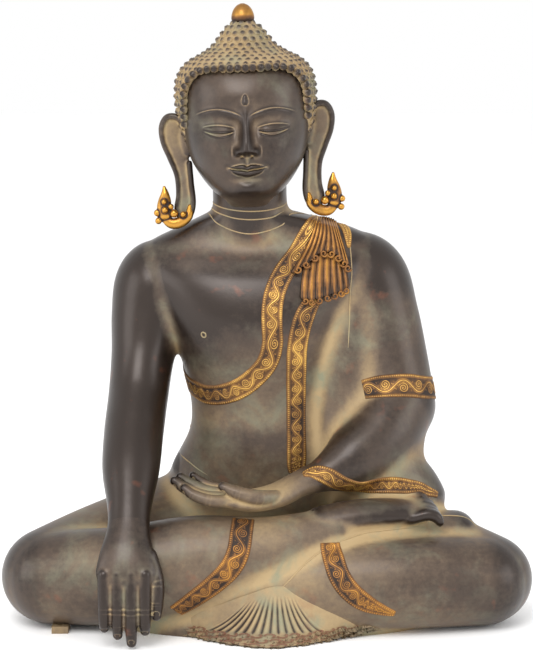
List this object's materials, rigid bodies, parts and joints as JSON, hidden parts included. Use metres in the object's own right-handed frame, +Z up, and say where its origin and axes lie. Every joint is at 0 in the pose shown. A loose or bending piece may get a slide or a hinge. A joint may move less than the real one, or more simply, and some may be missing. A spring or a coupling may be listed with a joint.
{
  "type": "seated buddha statue",
  "caption": "Seated buddha statue in dark patinated bronze with gilt robe borders, one hand lowered to touch the ground and the other resting palm up in the lap.",
  "frame": {"origin": "centre of the figure's bounding box, on the ground it sits on", "axes": "+Z up, +X to the viewer's right (the figure's left), the face looks along -Y"},
  "size_m": [0.5214, 0.332, 0.6078],
  "materials": {
    "patinated_bronze": "dark brown patina, polished on the high points, dusty in the recesses",
    "gilt_bronze": "rubbed gold over brown",
    "fitting_brass": "as turned",
    "copper": "dull copper sheet and rod"
  },
  "bodies": {
    "root": {"torso_casting": "patinated_bronze", "legs_casting": "patinated_bronze", "right_arm_casting": "patinated_bronze", "right_hand_casting": "patinated_bronze", "left_hand_casting": "patinated_bronze", "head_casting": "patinated_bronze", "robe_fan": "patinated_bronze", "knee_lug": "patinated_bronze", "crown_jewel": "gilt_bronze", "right_earring": "gilt_bronze", "left_earring": "gilt_bronze", "robe_cascade": "gilt_bronze", "neck_sleeve": "fitting_brass", "arm_sleeve": "fitting_brass", "waist_sleeve": "fitting_brass", "plate_screw_1": "fitting_brass", "plate_screw_2": "fitting_brass", "plate_screw_3": "fitting_brass", "plate_screw_4": "fitting_brass", "plate_screw_5": "fitting_brass", "plate_screw_6": "fitting_brass", "base_plate": "copper", "neck_pin_1": "copper", "neck_pin_2": "copper", "neck_pin_3": "copper", "arm_pin_1": "copper", "arm_pin_2": "copper", "arm_pin_3": "copper", "arm_pin_4": "copper", "waist_pin_1": "copper", "waist_pin_2": "copper", "waist_pin_3": "copper", "waist_pin_4": "copper", "waist_pin_5": "copper"}
  },
  "joints": []
}
